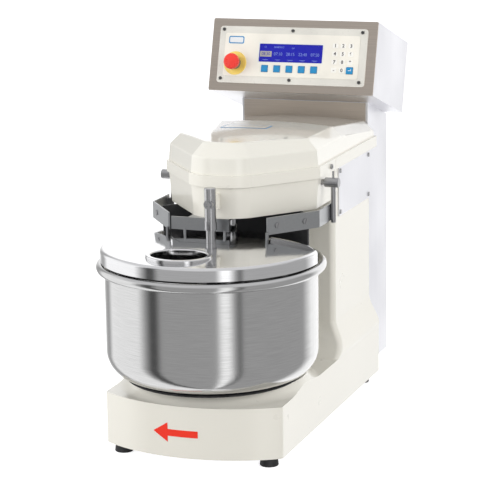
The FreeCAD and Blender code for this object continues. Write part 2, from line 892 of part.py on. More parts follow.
def spiral_drive():
    """Bearings, pulleys, belt and motor that turn the spiral."""
    bearings = []
    seat = S.head_bottom + 9
    for level in (seat, S.column_top - S.bearing_height - 2):
        race = solid_rod(S.bearing_outer, S.bearing_height, 0, S.spiral_y, level)
        bore = solid_rod(S.spiral_shaft_radius + 0.05, S.bearing_height, 0, S.spiral_y, level)
        bearings.append(race.cut(bore))
    shaped("spiral_bearings", Part.makeCompound(bearings))

    flanged_pulley("spiral_pulley", "spiral_pulley_radius", "spiral_shaft_radius")
    place(NODES[-1], y="spiral_y", z="spiral_belt_level")
    belt(
        "spiral_belt", (S.spiral_y, S.spiral_pulley_radius),
        (S.spiral_drive_y, S.small_pulley_radius), S.spiral_belt_level + 2,
    )

    pulley = revolved(
        "spiral_drive_pulley",
        [
            ("0", "-58"), ("9", "-58"), ("9", "0"),
            ("small_pulley_radius + 3", "0"), ("small_pulley_radius + 3", "1.6"),
            ("small_pulley_radius", "1.6"), ("small_pulley_radius", "belt_width + 2.4"),
            ("small_pulley_radius + 3", "belt_width + 2.4"),
            ("small_pulley_radius + 3", "belt_width + 4"), ("0", "belt_width + 4"),
        ],
    )
    place(pulley, y="spiral_drive_y", z="spiral_belt_level")

    radius, low, flange = 62, 196, 6
    shelf = S.motor_shelf
    motor = solid_rod(radius, shelf - flange - low, 0, S.spiral_drive_y, low)
    motor = motor.fuse(solid_rod(radius + 14, flange, 0, S.spiral_drive_y, shelf - flange))
    fins, fin_depth, fin_width = 20, 5, 2.4
    for index in range(fins):
        fin = solid_box(
            radius - 2, radius + fin_depth, -fin_width / 2, fin_width / 2,
            low + 30, shelf - flange - 14,
        )
        fin.rotate(Vector(0, 0, 0), Vector(0, 0, 1), 360 * index / fins)
        fin.translate(Vector(0, S.spiral_drive_y, 0))
        motor = motor.fuse(fin)
    motor = motor.cut(solid_rod(9.1, 60, 0, S.spiral_drive_y, S.spiral_belt_level - 60))
    shaped("spiral_motor", motor)


# ---------------------------------------------------------------------------------------------
# Breaker bar
# ---------------------------------------------------------------------------------------------


def breaker_bar():
    """Fixed round bar at the bowl's centre, with its sleeve, spacer and screw."""
    revolved(
        "breaker_bar",
        [
            ("0", "bar_bottom"), ("bar_radius - 3", "bar_bottom"),
            ("bar_radius", "bar_bottom + 3"), ("bar_radius", "sleeve_bottom"),
            ("0", "sleeve_bottom"),
        ],
    )
    collar = "sleeve_bottom + 14"
    revolved(
        "breaker_bar_sleeve",
        [
            ("0", "sleeve_bottom"), ("sleeve_radius + 0.8", "sleeve_bottom"),
            ("sleeve_radius + 0.8", collar), ("sleeve_radius", collar),
            ("sleeve_radius", "sleeve_top - 1.5"), ("sleeve_radius - 1.5", "sleeve_top"),
            ("0", "sleeve_top"),
        ],
    )
    half, back = 4.5, S.tip_y + 2 * S.flange_proud
    spacer = solid_box(-half, half, 0, back, S.bar_screw_level - 14, S.bar_screw_level + 12)
    shadow = solid_rod(S.sleeve_radius, 200, 0, 0, S.head_bottom - 60)
    spacer = spacer.cut(shadow).cut(housing_form())
    shaped("breaker_bar_spacer", spacer)
    washer_radius, head_radius, washer_reach, head_reach = 8, 5.6, 0.8, 3.2
    forward = (0, -1, 0)
    seat_y = -math.sqrt(S.sleeve_radius**2 - washer_radius**2)
    face_y = -S.sleeve_radius - washer_reach
    washer = solid_rod(washer_radius, seat_y - face_y, 0, seat_y, S.bar_screw_level, forward)
    head = solid_rod(head_radius, head_reach, 0, face_y, S.bar_screw_level, forward)
    socket = solid_rod(3.2, 2, 0, face_y - head_reach + 2, S.bar_screw_level, forward)
    screw = washer.cut(shadow).fuse(head).cut(socket)
    shaped("breaker_bar_screw", screw)


# ---------------------------------------------------------------------------------------------
# Lid, its hinge and the fixed parts round it
# ---------------------------------------------------------------------------------------------


def dome_corners(sheet_gauge):
    """Profile of the lid: upright skirt, rounded edge and shallow crowned top."""
    outer, low = "lid_radius", "lid_skirt_bottom"
    inner = f"lid_radius - {sheet_gauge}"
    high, peak = "lid_edge_level", "lid_edge_level + lid_crown"
    round_x, round_z = "lid_radius - lid_round", "lid_edge_level - lid_round"
    sweep = "((lid_radius - lid_round)^2 - lid_crown^2) / (2 * lid_crown)"
    return [
        (inner, low),
        (outer, low),
        (outer, round_z),
        (round_x, high, round_x, round_z, 1),
        ("0", peak, "0", f"lid_edge_level - {sweep}", 1),
        ("0", f"{peak} - {sheet_gauge}"),
        (round_x, f"{high} - {sheet_gauge}", "0", f"lid_edge_level - {sweep} - {sheet_gauge}", -1),
        (inner, round_z, round_x, round_z, -1),
    ]


def dome_level(x, y):
    """Height of the lid's top above a point in plan."""
    edge = S.lid_radius - S.lid_round
    return S.lid_edge_level + S.lid_crown * (1 - (x * x + y * y) / edge**2)


def lid_rear_edge():
    """Corners of the moving lid's rear edge on the right: notch front, knee, then outwards."""
    return [
        ("lid_notch_front_x", "lid_notch_front_y"),
        ("lid_notch_rear_x", "lid_notch_knee_y"),
        ("lid_notch_rear_x", "lid_rear_inner_y"),
        ("lid_rear_outer_x + 12", "lid_rear_outer_y - 4"),
    ]


def through_pocket(body, name, draw):
    """Cuts an outline right through a body, upwards from its base plane."""
    sketch = sketch_on(body, "XY_Plane", name + "_outline")
    draw(sketch)
    pocket = body.newObject("PartDesign::Pocket", name)
    pocket.Profile = sketch
    pocket.Type = "ThroughAll"
    pocket.Reversed = True
    return pocket


def draw_ellipse(sketch, grow):
    """The oval filling opening."""
    centre = Vector(S.fill_x, S.fill_y, 0)
    major, minor = S.fill_half_width + grow, S.fill_half_depth + grow
    sketch.addGeometry(Part.Ellipse(centre, major, minor))


def bowl_lid():
    """Hinged lid over the front of the bowl, notched round the breaker bar."""
    body = revolved("bowl_lid", dome_corners("lid_sheet"))
    right = lid_rear_edge()
    left = [(f"-({x})", y) for x, y in right[::-1]]
    beyond = [("lid_rear_outer_x + 12", "lid_radius + 5"), ("-lid_rear_outer_x - 12", "lid_radius + 5")]
    outline = right + beyond + left
    through_pocket(body, "lid_rear_cut", lambda sketch: draw_loop(sketch, outline))
    through_pocket(body, "lid_filling_opening", lambda sketch: draw_ellipse(sketch, 0))


def lid_lip():
    """Upturned stiffening lip along the right half of the lid's rear edge."""
    inner = Vector(S.lid_notch_rear_x + 10, S.lid_rear_inner_y - 3, 0)
    outer = Vector(S.lid_rear_outer_x, S.lid_rear_outer_y, 0)
    along = outer - inner
    inward = Vector(along.y, -along.x, 0).normalize()
    steps, margin = 8, 0.6
    crest, foot = [], []
    for index in range(steps + 1):
        spot = inner + along * (index / steps) * 0.985 + inward * margin
        level = dome_level(spot.x, spot.y)
        tip = S.lip_height * min(1, (steps - index + 0.3) / 1.3)
        crest.append((spot.x, spot.y, level + tip))
        foot.append((spot.x, spot.y, level - S.lid_sheet / 2))
    lip = Part.Face(polygon(crest + foot[::-1])).extrude(inward * S.lid_sheet)
    shaped("lid_lip", lip)


def filling_collar():
    """Low rolled collar round the filling opening."""
    low = S.lid_edge_level - 2
    high = dome_level(S.fill_x, S.fill_y) + S.collar_height
    centre = Vector(S.fill_x, S.fill_y, low)
    fit, roll = 0.2, 2.2
    outer = Part.Ellipse(centre, S.fill_half_width - fit, S.fill_half_depth - fit)
    inner = Part.Ellipse(
        centre, S.fill_half_width - S.collar_width, S.fill_half_depth - S.collar_width
    )
    height = high - low
    collar = prism(Part.Wire(outer.toShape()), height)
    collar = collar.cut(prism(Part.Wire(inner.toShape()), height))
    top = [e for e in collar.Edges if e.BoundBox.ZMin > high - 0.1]
    shaped("filling_collar", collar.makeFillet(roll, top))


def fixed_lid():
    """The part of the lid that stays in place round the breaker bar and at the left rear."""
    body = revolved("fixed_lid", dome_corners("lid_sheet"))
    keep = sketch_on(body, "XY_Plane", "fixed_lid_keep_outline")
    reach, rear = "lid_radius + 10", "fixed_lid_rear_y"
    notch, knee, corner, rim = lid_rear_edge()
    gap = "lid_seam"
    near_x, side_x = f"{notch[0]} - {gap} / 2", f"{knee[0]} - {gap}"
    front = f"{notch[1]} + {gap}"
    plate = [
        (near_x, front), (side_x, knee[1]), (side_x, rear),
        (f"-({rim[0]})", rear), (f"-({rim[0]})", f"{rim[1]} + {gap}"),
        (f"-({side_x})", f"{corner[1]} + {gap}"), (f"-({side_x})", knee[1]), (f"-({near_x})", front),
    ]
    frame = [
        (reach, f"-({reach})"), (reach, reach), (f"-({reach})", reach), (f"-({reach})", f"-({reach})")
    ]
    draw_loop(keep, frame)
    draw_loop(keep, plate)
    pocket = body.newObject("PartDesign::Pocket", "fixed_lid_outside")
    pocket.Profile = keep
    pocket.Type = "ThroughAll"
    pocket.Reversed = True
    through_pocket(
        body, "fixed_lid_bar_hole", lambda sketch: draw_circle(sketch, "0", "0", "bar_radius + 0.4")
    )
    through_pocket(
        body, "fixed_lid_shaft_notch",
        lambda sketch: draw_circle(sketch, "0", "spiral_y", "spiral_shaft_radius + 12"),
    )


def bar_bracket():
    """Flat steel under the nose that carries the fixed part of the lid."""
    y, gauge, left, right = 32, 3, -84, 21
    low, high = S.flat_bar_bottom + 1, S.head_bottom
    strip = solid_box(left, right, y, y + gauge, low, high)
    flange = solid_box(left + 30, right, y, y + 38, high - gauge, high)
    studs = []
    for x in (left + 24, right - 9):
        level = dome_level(x, y + gauge / 2) - S.lid_sheet / 2
        studs.append(solid_rod(2.5, low + 2 - level, x, y + gauge / 2, level))
    shaped("bar_bracket", strip.fuse([flange] + studs))


def rear_guard():
    """Dark curved guard that closes the gap between the head and the back of the bowl."""
    outer = S.guard_radius
    inner = outer - 2.5
    start = math.radians(S.guard_start_angle)
    reach = [Vector(math.cos(start), math.sin(start), 0), Vector(0, 1, 0)]
    reach.append(Vector(-reach[0].x, reach[0].y, 0))
    low = Vector(0, 0, S.guard_bottom)
    out = [low + v * outer for v in reach]
    back = [low + v * inner for v in reach]
    edges = [
        Part.Arc(*out).toShape(),
        Part.LineSegment(out[2], back[2]).toShape(),
        Part.Arc(back[2], back[1], back[0]).toShape(),
        Part.LineSegment(back[0], out[0]).toShape(),
    ]
    height = S.head_bottom - S.guard_bottom
    shaped("rear_guard", prism(Part.Wire(edges), height))


def lid_axle():
    """Hinge pin of the lid, right across the head."""
    gap = 6
    left, right = S.left_hub_outer_x - gap, S.hub_outer_x - gap
    pin = solid_rod(S.axle_radius, left + right, -left, S.pivot_y, S.pivot_level, (1, 0, 0))
    shaped("lid_axle", pin)


def lever_arm(hub_end, rod_x, rod_radius, side):
    """Hub on the hinge pin with an upright rod; side is 1 on the right and -1 on the left."""
    length = hub_end - S.hub_inner_x
    spot = (side * S.hub_inner_x, S.pivot_y, S.pivot_level, (side, 0, 0))
    hub = solid_rod(S.hub_radius, length, *spot)
    rims = [e for e in hub.Edges if abs(e.Length - 2 * math.pi * S.hub_radius) < 0.1]
    hub = hub.makeChamfer(0.8, rims)
    height = S.pivot_level - S.lever_bottom
    hub = hub.fuse(solid_rod(rod_radius, height, side * rod_x, S.pivot_y, S.lever_bottom))
    running_gap, cap, lead = 0.08, 4.5, 6
    start = (side * (S.hub_inner_x - lead), *spot[1:])
    return hub.cut(solid_rod(S.axle_radius + running_gap, length - cap + lead, *start))


def lever_arms():
    """Hubs on the hinge pin with the upright rods that carry the flat bars."""
    arm = lever_arm(S.hub_outer_x, S.lever_x, S.lever_radius, 1)
    pin_height = S.stop_pin_top - S.pivot_level - S.hub_radius + 1
    pin = solid_rod(
        S.stop_pin_radius, pin_height, S.lever_x, S.pivot_y, S.pivot_level + S.hub_radius - 1
    )
    shaped("lever_arm_right", arm.fuse(pin))

    arm = lever_arm(S.left_hub_outer_x, S.left_lever_x, S.left_lever_radius, -1)
    recess_radius, recess_depth = 5.5, 3
    recess = solid_rod(
        recess_radius, recess_depth, -S.left_hub_outer_x, S.pivot_y, S.pivot_level, (1, 0, 0)
    )
    bar_face = S.flat_bar_x - S.flat_bar_sheet
    pad = solid_box(
        -bar_face, -S.left_lever_x, S.pivot_y - 5, S.pivot_y + 5,
        S.flat_bar_bottom + 5, S.flat_bar_top - 5,
    )
    shaped("lever_arm_left", arm.fuse(pad).cut(recess))


def bent_strip(points, gauge, low, high):
    """A flat bar stood on edge and bent to follow points; its thickness lies to their left."""
    normals = []
    for a, b in zip(points, points[1:]):
        run = math.hypot(b[0] - a[0], b[1] - a[1])
        normals.append(((a[1] - b[1]) / run, (b[0] - a[0]) / run))
    inner = []
    for index, (x, y) in enumerate(points):
        before = normals[max(index - 1, 0)]
        after = normals[min(index, len(normals) - 1)]
        scale = gauge / (1 + before[0] * after[0] + before[1] * after[1])
        inner.append((x + (before[0] + after[0]) * scale, y + (before[1] + after[1]) * scale))
    corners = [(x, y, low) for x, y in points + inner[::-1]]
    return prism(polygon(corners), high - low)


def flat_bars():
    """Bent flat bars that join the levers to the lid, with their slotted screws."""
    bend = (S.flat_bar_x, S.flat_bar_bend_y)
    end = (S.flat_bar_end_x, S.flat_bar_end_y)
    start = (S.flat_bar_x, S.pivot_y + 6)
    bar = bent_strip(
        [end, bend, start], S.flat_bar_sheet, S.flat_bar_bottom, S.flat_bar_top
    )
    run = Vector(bend[0] - end[0], bend[1] - end[1], 0).normalize()
    outward = Vector(run.y, -run.x, 0)

    foot_x, foot_y, foot_width, foot_depth = 88, 25, 3.5, 8
    foot_level = dome_level(foot_x, foot_y) - S.lid_sheet / 2
    foot = solid_box(
        foot_x, foot_x + foot_width, foot_y, foot_y + foot_depth,
        foot_level, S.flat_bar_bottom + 5,
    )
    bar = bar.fuse(foot).removeSplitter()
    shaped("flat_bar_right", bar)
    shaped("flat_bar_left", mirrored(bar))

    screws = []
    level = (S.flat_bar_bottom + S.flat_bar_top) / 2
    outer_screw, inner_screw = 77.5, 20.5
    for along in (outer_screw, inner_screw):
        spot = Vector(end[0], end[1], level) + run * along
        screw = Part.makeCylinder(5, 1.8, spot, outward)
        slot = Part.makeBox(1.2, 14, 2, Vector(-0.6, -7, 1.0))
        slot.rotate(Vector(0, 0, 0), Vector(0, 0, 1), 35)
        turn = Rotation(Vector(0, 0, 1), outward)
        slot.Placement = Placement(spot, turn).multiply(slot.Placement)
        screw = screw.cut(slot)
        screws.append(screw)
        if along == outer_screw:
            screws.append(mirrored(screw))
    shaped("flat_bar_screws", Part.makeCompound(screws))


# ---------------------------------------------------------------------------------------------
# Rear cabinet and neck
# ---------------------------------------------------------------------------------------------


def console_underside(y):
    """Height of the console's underside above a point on the Y axis."""
    return S.console_level - (y - S.console_y) * math.tan(math.radians(S.console_tilt))


def side_prism(points, half):
    """A shape given by its side view, as wide as the cabinet."""
    outline = polygon([(-half, y, z) for y, z in points])
    return Part.Face(outline).extrude(Vector(2 * half, 0, 0))


def rear_cabinet():
    """Folded stainless cabinet behind the column, with the neck that carries the console."""
    wall = S.sheet_metal
    front, neck, back = S.base_rear_y + 0.5, S.neck_front_y, S.cabinet_rear_y
    floor, ledge = S.foot_height, S.column_top - 1
    outer = side_prism(
        [
            (front, floor), (back, floor), (back, console_underside(back)),
            (neck, console_underside(neck)), (neck, ledge), (front, ledge),
        ],
        S.cabinet_half_width,
    )
    high = S.console_level
    inner = side_prism(
        [
            (front - 1, floor + wall), (back - wall, floor + wall), (back - wall, high),
            (neck + wall, high), (neck + wall, ledge - wall), (front - 1, ledge - wall),
        ],
        S.cabinet_half_width - wall,
    )
    body = outer.cut(inner)
    window = solid_box(-112, 112, neck - 1, neck + wall + 1, 464, 506)
    body = body.cut(window)
    slots, slot_width, slot_height, pitch = 9, 120, 4, 11
    for index in range(slots):
        for low in (90, 330):
            level = low + pitch * index
            slot = solid_box(
                -slot_width / 2, slot_width / 2, back - wall - 1, back + 1,
                level, level + slot_height,
            )
            body = body.cut(slot)
    shaped("rear_cabinet", body)

    lip = 4
    neck_plate = solid_box(
        lip - S.cabinet_half_width, S.cabinet_half_width - lip, neck - wall, neck,
        S.flange_top + 2, console_underside(neck) - 1,
    )
    shaped("neck_panel", neck_plate)

    half_width, height, proud, level = 24, 34, 5, 46
    inlet = solid_box(-half_width, half_width, back, back + proud, level, level + height)
    inlet = inlet.makeFillet(2, [e for e in inlet.Edges if e.BoundBox.YLength > 1])
    recess = solid_box(-14, 14, back + 1, back + proud + 1, level + 7, level + height - 7)
    shaped("power_inlet", inlet.cut(recess))


# ---------------------------------------------------------------------------------------------
# Console
# ---------------------------------------------------------------------------------------------


def console_box():
    """Console housing with an open front and an opening below for the neck's wiring."""
    wall = S.sheet_metal
    outer = block("console_outer", "2 * console_half_width", "console_depth - front_sheet",
                  "console_height")
    outer.Placement = Placement(Vector(-S.console_half_width, S.front_sheet, 0), Rotation())
    inner = block("console_inner", "2 * (console_half_width - sheet_metal)",
                  "console_depth - front_sheet", "console_height - 2 * sheet_metal")
    inner.Placement = Placement(
        Vector(wall - S.console_half_width, S.front_sheet - wall, wall), Rotation()
    )
    duct = block("console_duct", "160", "60", "10")
    duct.Placement = Placement(Vector(-80, 130, -5), Rotation())
    shell = node(cut("console_shell", outer, [inner, duct]), "console_shell")
    shell.Placement = CONSOLE


def console_front():
    """Brushed front plate with a large window behind the control panel."""
    window = shifted(
        rounded("panel_width - 20", "panel_height - 14", "4"),
        "panel_x", "panel_level + panel_height / 2 - console_height / 2",
    )
    plate = padded(
        "console_front", "front_sheet",
        rounded("2 * console_half_width", "console_height", "3"), windows=[window],
    )
    on_console(plate, "0", "console_height / 2", "-front_sheet")


def key_spots():
    """Places of the five function keys and the enter key on the console's face."""
    spots = [
        (f"first_key_x + {index} * key_pitch", "function_key_level") for index in range(5)
    ]
    return spots + [("pad_x + 2 * pad_pitch", "pad_level - 3 * pad_pitch")]


def control_panel():
    """Panel plate and keypad membrane, both pierced for display, keys and stop button."""
    slot = "key_size + 1"
    for label, width, height, corner, x, level, gauge, out, hole in (
        ("panel_plate", "panel_width", "panel_height", "6", "panel_x", "panel_level",
         "1.5", "0", "stop_stem_radius + 1"),
        ("keypad_membrane", "membrane_width", "membrane_height", "4", "membrane_x",
         "membrane_level", "0.6", "1.5", "stop_stem_radius + 1"),
    ):
        middle = f"{level} + {height} / 2"
        windows = [
            shifted(rounded(slot, slot, "1"), f"{kx} - ({x})", f"{ky} - ({middle})")
            for kx, ky in key_spots()
        ]
        windows.append(
            shifted(
                rounded("display_width", "display_height", "1.5"),
                f"display_x - ({x})", f"display_level - ({middle})",
            )
        )
        plate = padded(
            label, gauge, rounded(width, height, corner),
            holes=[(f"stop_x - ({x})", f"stop_level - ({middle})", hole)], windows=windows,
        )
        on_console(plate, x, middle, out)


def panel_screws():
    """Six slotted screws in the panel plate."""
    screws = []
    for x in (-137, -2, 132):
        for level in (22.5, 114.5):
            screw = solid_rod(3.1, 1.6, x, -1.5, level, (0, -1, 0))
            screw = screw.cut(solid_box(x - 4, x + 4, -3.6, -2.2, level - 0.4, level + 0.4))
            screws.append(screw)
    piece = shaped("panel_screws", Part.makeCompound(screws))
    piece.Placement = CONSOLE


def display():
    """Display window, and the control board behind it with its display module."""
    window = padded(
        "display_window", "1.2", rounded("display_width - 0.6", "display_height - 0.6", "1.2")
    )
    on_console(window, "display_x", "display_level", "0.6")
    front, module_depth, board_front, board_gauge = 4, 10, 28, 1.6
    half_width, half_height, margin = 120, 48, 8
    module = solid_box(
        S.display_x - S.display_width / 2 - margin, S.display_x + S.display_width / 2 + margin,
        front, front + module_depth,
        S.display_level - S.display_height / 2, S.display_level + S.display_height / 2 + margin,
    )
    middle = S.console_height / 2
    board = solid_box(
        -half_width, half_width, board_front, board_front + board_gauge,
        middle - half_height, middle + half_height,
    )
    stands = [
        solid_rod(2.5, board_front - front - module_depth, x, front + module_depth,
                  S.display_level, (0, 1, 0))
        for x in (-50, 44)
    ]
    piece = shaped("control_board", board.fuse([module] + stands))
    piece.Placement = CONSOLE


def keys():
    """Five function keys and the enter key, which travel, and the printed number keys."""
    labels = [f"function_key_{index + 1}" for index in range(5)] + ["enter_key"]
    for label, (x, level) in zip(labels, key_spots()):
        key = padded(label, "key_height", rounded("key_size", "key_size", "1.6"))
        on_console(key, x, level, "0.6")
    pads = []
    for column in range(3):
        for line in range(4):
            if (column, line) == (2, 3):
                continue
            x = S.pad_x + column * S.pad_pitch
            level = S.pad_level - line * S.pad_pitch
            pads.append(
                solid_box(
                    x - S.pad_width / 2, x + S.pad_width / 2, -2.7, -2.1,
                    level - S.pad_height / 2, level + S.pad_height / 2,
                )
            )
    piece = shaped("number_keys", Part.makeCompound(pads))
    piece.Placement = CONSOLE


def stop_button():
    """Emergency stop: yellow ring, collar and red mushroom head."""
    ring_body = revolved(
        "stop_ring",
        [
            ("stop_collar_radius - 2", "0"), ("stop_ring_radius", "0"),
            ("stop_ring_radius", "0.8"), ("stop_ring_radius - 0.8", "1.6"),
            ("stop_collar_radius - 2", "1.6"),
        ],
    )
    on_console(ring_body, "stop_x", "stop_level", "2.1")
    bore = "stop_stem_radius + 0.08"
    collar = revolved(
        "stop_collar",
        [
            (bore, "0"), ("stop_collar_radius", "0"), ("stop_collar_radius", "7"),
            ("stop_collar_radius - 1", "8"), (bore, "8"),
        ],
    )
    on_console(collar, "stop_x", "stop_level", "3.7")
    head = revolved(
        "stop_mushroom",
        [
            ("0", "-6"), ("stop_stem_radius", "-6"), ("stop_stem_radius", "18"),
            ("stop_head_radius - 1.5", "18"), ("stop_head_radius", "20"),
            ("stop_head_radius", "24"),
            ("stop_head_radius - 4", "28.5", "stop_head_radius - 4.6", "24", 1),
            ("0", "stop_head_top"),
        ],
    )
    on_console(head, "stop_x", "stop_level", "0")


# ---------------------------------------------------------------------------------------------
# Build, check and export
# ---------------------------------------------------------------------------------------------


def build():
    base_casting()
    base_plate()
    rubber_feet()
    side_plates()
    bowl()
    turntable()
    bowl_drive()
    head_housing()
    head_flange()
    head_cover()
    head_bolts()
    spiral_hook()
    spiral_drive()
    breaker_bar()
    bowl_lid()
    lid_lip()
    filling_collar()
    fixed_lid()
    bar_bracket()
    rear_guard()
    lid_axle()
    lever_arms()
    flat_bars()
    rear_cabinet()
    console_box()
    console_front()
    control_panel()
    panel_screws()
    display()
    keys()
    stop_button()


def settle():
    """Moves the sub-parts so that the origin lies in the middle of the machine's footprint."""
    shift = Placement(Vector(0, -S.middle_y, 0), Rotation())
    for piece in NODES:
        bound = any("Placement" in path for path, _ in piece.ExpressionEngine)
        if not bound:
            piece.Placement = shift.multiply(piece.Placement)


def check():
    """Stops with a plain message if anything failed to build."""
    doc.recompute()
    for piece in doc.Objects:
        if {"Invalid", "Error"} & set(piece.State):
            raise SystemExit(f"{piece.Label} did not build")
    for piece in NODES:
        shape = piece.Shape
        if shape.isNull() or not shape.isValid() or shape.Volume <= 0:
            raise SystemExit(f"{piece.Label} has no valid solid")


def export():
    os.makedirs("parts", exist_ok=True)
    for old in os.listdir("parts"):
        os.remove(os.path.join("parts", old))
    for piece in NODES:
        piece.Shape.exportStep(f"parts/{piece.Label}.step")
    whole = Part.makeCompound([piece.Shape for piece in NODES]).BoundBox
    print(len(NODES), "sub-parts, in", whole)


build()
settle()
check()
export()
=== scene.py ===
"""Looks of the tabletop spiral mixer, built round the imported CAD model."""

import json
import math

import bmesh
import bpy
from mathutils import Matrix, Vector

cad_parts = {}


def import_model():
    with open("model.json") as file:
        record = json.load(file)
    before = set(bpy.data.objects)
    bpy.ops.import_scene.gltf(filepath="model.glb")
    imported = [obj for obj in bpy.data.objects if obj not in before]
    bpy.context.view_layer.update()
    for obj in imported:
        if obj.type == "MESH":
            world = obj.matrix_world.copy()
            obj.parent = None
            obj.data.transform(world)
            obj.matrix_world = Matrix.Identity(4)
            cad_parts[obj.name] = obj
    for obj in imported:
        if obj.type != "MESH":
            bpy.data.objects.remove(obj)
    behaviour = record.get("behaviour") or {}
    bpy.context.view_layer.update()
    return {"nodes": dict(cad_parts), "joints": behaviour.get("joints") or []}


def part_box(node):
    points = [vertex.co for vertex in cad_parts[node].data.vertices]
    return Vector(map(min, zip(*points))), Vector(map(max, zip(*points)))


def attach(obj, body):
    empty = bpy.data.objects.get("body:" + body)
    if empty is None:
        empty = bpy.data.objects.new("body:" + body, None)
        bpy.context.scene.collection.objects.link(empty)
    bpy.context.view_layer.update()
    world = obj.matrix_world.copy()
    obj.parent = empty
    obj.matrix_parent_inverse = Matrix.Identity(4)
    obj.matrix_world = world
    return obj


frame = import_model()
NODES = frame["nodes"]
MM = 0.001


# ---------------------------------------------------------------------------------------------
# Material helpers
# ---------------------------------------------------------------------------------------------


class Maker:
    """A node material with one Principled shader, built up step by step."""

    def __init__(self, name, color, **sockets):
        """Starts with one colour and fixed values for the named shader sockets."""
        self.material = bpy.data.materials.new(name)
        self.material.use_nodes = True
        self.tree = self.material.node_tree
        self.shader = self.tree.nodes["Principled BSDF"]
        self.shader.inputs["Base Color"].default_value = (*color, 1)
        for socket, value in sockets.items():
            self.shader.inputs[socket.replace("_", " ")].default_value = value
        self.coords = self.tree.nodes.new("ShaderNodeTexCoord")

    def node(self, kind, **values):
        """Adds a node; each value goes to the input or the setting of that name."""
        made = self.tree.nodes.new(kind)
        for name, value in values.items():
            if name in made.inputs:
                made.inputs[name].default_value = value
            else:
                setattr(made, name, value)
        return made

    def link(self, source, target):
        """Joins an output to an input."""
        self.tree.links.new(source, target)

    def noise(self, scale, stretch=(1, 1, 1), detail=4.0, roughness=0.5):
        """Noise over the object's own coordinates, stretched along an axis."""
        mapping = self.node("ShaderNodeMapping")
        mapping.inputs["Scale"].default_value = stretch
        self.link(self.coords.outputs["Object"], mapping.inputs["Vector"])
        noise = self.node("ShaderNodeTexNoise", Scale=scale, Detail=detail, Roughness=roughness)
        self.link(mapping.outputs["Vector"], noise.inputs["Vector"])
        return noise.outputs["Fac"]

    def ramp(self, source, low, high, low_value, high_value):
        """Maps a value from one range to another."""
        made = self.node("ShaderNodeMapRange")
        made.inputs["From Min"].default_value = low
        made.inputs["From Max"].default_value = high
        made.inputs["To Min"].default_value = low_value
        made.inputs["To Max"].default_value = high_value
        self.link(source, made.inputs["Value"])
        return made.outputs["Result"]

    def tint(self, source, low, high, first, second):
        """Base colour that blends from the first to the second by a value."""
        mix = self.node("ShaderNodeMix", data_type="RGBA")
        colours = [i for i in mix.inputs if i.type == "RGBA"]
        colours[0].default_value = (*first, 1)
        colours[1].default_value = (*second, 1)
        self.link(self.ramp(source, low, high, 0, 1), mix.inputs[0])
        result = next(o for o in mix.outputs if o.type == "RGBA")
        self.link(result, self.shader.inputs["Base Color"])

    def rough(self, source, low, high, smooth, rough):
        """Roughness that runs from smooth to rough by a value."""
        self.link(self.ramp(source, low, high, smooth, rough), self.shader.inputs["Roughness"])

    def relief(self, source, height, strength):
        """Bump of a given height in metres."""
        bump = self.node("ShaderNodeBump", Strength=strength, Distance=height)
        self.link(source, bump.inputs["Height"])
        self.link(bump.outputs["Normal"], self.shader.inputs["Normal"])


def enamel(name, color, darker, roughness, coat):
    """Sprayed enamel: faint orange peel, slight change of tone, clear coat."""
    made = Maker(name, color, Roughness=roughness, Coat_Weight=coat, Coat_Roughness=0.06)
    made.tint(made.noise(3.0, detail=3.0), 0.35, 0.7, color, darker)
    made.rough(made.noise(20.0), 0.2, 0.8, roughness - 0.01, roughness + 0.01)
    made.relief(made.noise(420.0, detail=2.0), 0.00001, 0.04)
    return made.material


def brushed(name, color, darker, along, roughness, anisotropy):
    """Brushed sheet steel: long fine scratches along one axis."""
    along_scratch, across_scratch = 3, 900
    stretch = [along_scratch if axis == along else across_scratch for axis in "XYZ"]
    made = Maker(name, color, Metallic=1.0, Roughness=roughness, Anisotropic=anisotropy)
    lines = made.noise(1.0, stretch, detail=6.0, roughness=0.65)
    made.tint(lines, 0.3, 0.7, color, darker)
    made.rough(made.noise(5.0), 0.3, 0.7, roughness - 0.05, roughness + 0.07)
    made.relief(lines, 0.00003, 0.6)
    return made.material


def spun(name, color, darker, centre, roughness, lines_strength):
    """Steel spun or brushed round the bowl's axis: hairlines run round the part."""
    made = Maker(name, color, Metallic=1.0, Roughness=roughness, Anisotropic=0.35)
    shift = made.node("ShaderNodeVectorMath", operation="SUBTRACT")
    shift.inputs[1].default_value = centre
    made.link(made.coords.outputs["Object"], shift.inputs[0])
    split = made.node("ShaderNodeSeparateXYZ")
    made.link(shift.outputs["Vector"], split.inputs["Vector"])
    flat = made.node("ShaderNodeCombineXYZ")
    made.link(split.outputs["X"], flat.inputs["X"])
    made.link(split.outputs["Y"], flat.inputs["Y"])
    length = made.node("ShaderNodeVectorMath", operation="LENGTH")
    made.link(flat.outputs["Vector"], length.inputs[0])
    ring = made.node("ShaderNodeCombineXYZ")
    made.link(length.outputs["Value"], ring.inputs["X"])
    made.link(split.outputs["Z"], ring.inputs["Z"])
    angle = made.node("ShaderNodeMath", operation="ARCTAN2")
    made.link(split.outputs["Y"], angle.inputs[0])
    made.link(split.outputs["X"], angle.inputs[1])
    slow = made.node("ShaderNodeMath", operation="MULTIPLY")
    metres_per_radian = 0.006
    slow.inputs[1].default_value = metres_per_radian
    made.link(angle.outputs["Value"], slow.inputs[0])
    made.link(slow.outputs["Value"], ring.inputs["Y"])
    lines = made.node("ShaderNodeTexNoise", Scale=700.0, Detail=5.0, Roughness=0.6)
    made.link(ring.outputs["Vector"], lines.inputs["Vector"])
    made.tint(lines.outputs["Fac"], 0.3, 0.7, color, darker)
    made.rough(lines.outputs["Fac"], 0.3, 0.7, roughness - 0.03, roughness + 0.05)
    made.relief(lines.outputs["Fac"], 0.00002, lines_strength)
    return made.material


